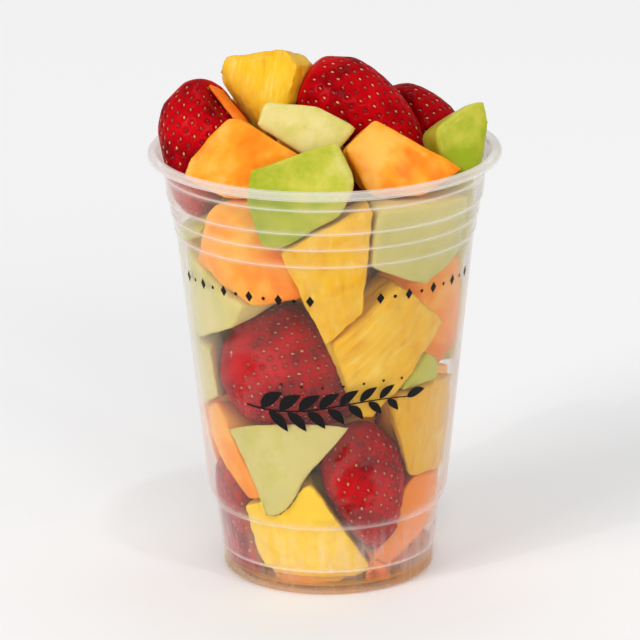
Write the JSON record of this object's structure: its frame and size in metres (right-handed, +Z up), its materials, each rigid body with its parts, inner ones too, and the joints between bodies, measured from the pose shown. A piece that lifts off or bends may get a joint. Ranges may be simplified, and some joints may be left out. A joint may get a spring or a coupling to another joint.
{
  "type": "fruit cup",
  "caption": "Clear plastic cup with a rolled lip, heaped with cut melon, pineapple and whole strawberries; it stands on its foot.",
  "frame": {"origin": "middle of the cup's foot, on the surface that it stands on", "axes": "+Z up along the cup's axis, -Y towards the front, where the fruit is seen as in the picture it was built from, +X to the right seen from there"},
  "size_m": [0.098, 0.098, 0.1494],
  "materials": {
    "cup": "clear thin plastic, glossy",
    "pineapple": "moist cut fruit",
    "cantaloupe": "moist cut fruit",
    "honeydew": "moist cut fruit",
    "strawberry": "glossy skin"
  },
  "bodies": {
    "root": {"cantaloupe_back_1": "cantaloupe", "cantaloupe_back_12": "cantaloupe", "cantaloupe_back_16": "cantaloupe", "cantaloupe_back_5": "cantaloupe", "cantaloupe_back_9": "cantaloupe", "cantaloupe_base": "cantaloupe", "cantaloupe_core_2": "cantaloupe", "cantaloupe_core_4": "cantaloupe", "cantaloupe_crest": "cantaloupe", "cantaloupe_diamond": "cantaloupe", "cantaloupe_heap_2": "cantaloupe", "cantaloupe_left": "cantaloupe", "cantaloupe_low": "cantaloupe", "cantaloupe_right": "cantaloupe", "cantaloupe_slice": "cantaloupe", "cantaloupe_strip": "cantaloupe", "cup": "cup", "honeydew_back_10": "honeydew", "honeydew_back_14": "honeydew", "honeydew_back_15": "honeydew", "honeydew_back_2": "honeydew", "honeydew_back_8": "honeydew", "honeydew_core_1": "honeydew", "honeydew_edge": "honeydew", "honeydew_front": "honeydew", "honeydew_heap_3": "honeydew", "honeydew_left": "honeydew", "honeydew_low": "honeydew", "honeydew_peak": "honeydew", "honeydew_right": "honeydew", "honeydew_side": "honeydew", "honeydew_small": "honeydew", "honeydew_top": "honeydew", "pineapple_back_11": "pineapple", "pineapple_back_17": "pineapple", "pineapple_back_19": "pineapple", "pineapple_back_4": "pineapple", "pineapple_back_7": "pineapple", "pineapple_core_3": "pineapple", "pineapple_front": "pineapple", "pineapple_heap_1": "pineapple", "pineapple_low": "pineapple", "pineapple_middle": "pineapple", "pineapple_right": "pineapple", "pineapple_top": "pineapple", "strawberry_back_13": "strawberry", "strawberry_back_18": "strawberry", "strawberry_back_3": "strawberry", "strawberry_back_6": "strawberry", "strawberry_behind": "strawberry", "strawberry_big": "strawberry", "strawberry_corner": "strawberry", "strawberry_inner": "strawberry", "strawberry_left": "strawberry", "strawberry_low": "strawberry", "strawberry_top": "strawberry"}
  },
  "joints": []
}
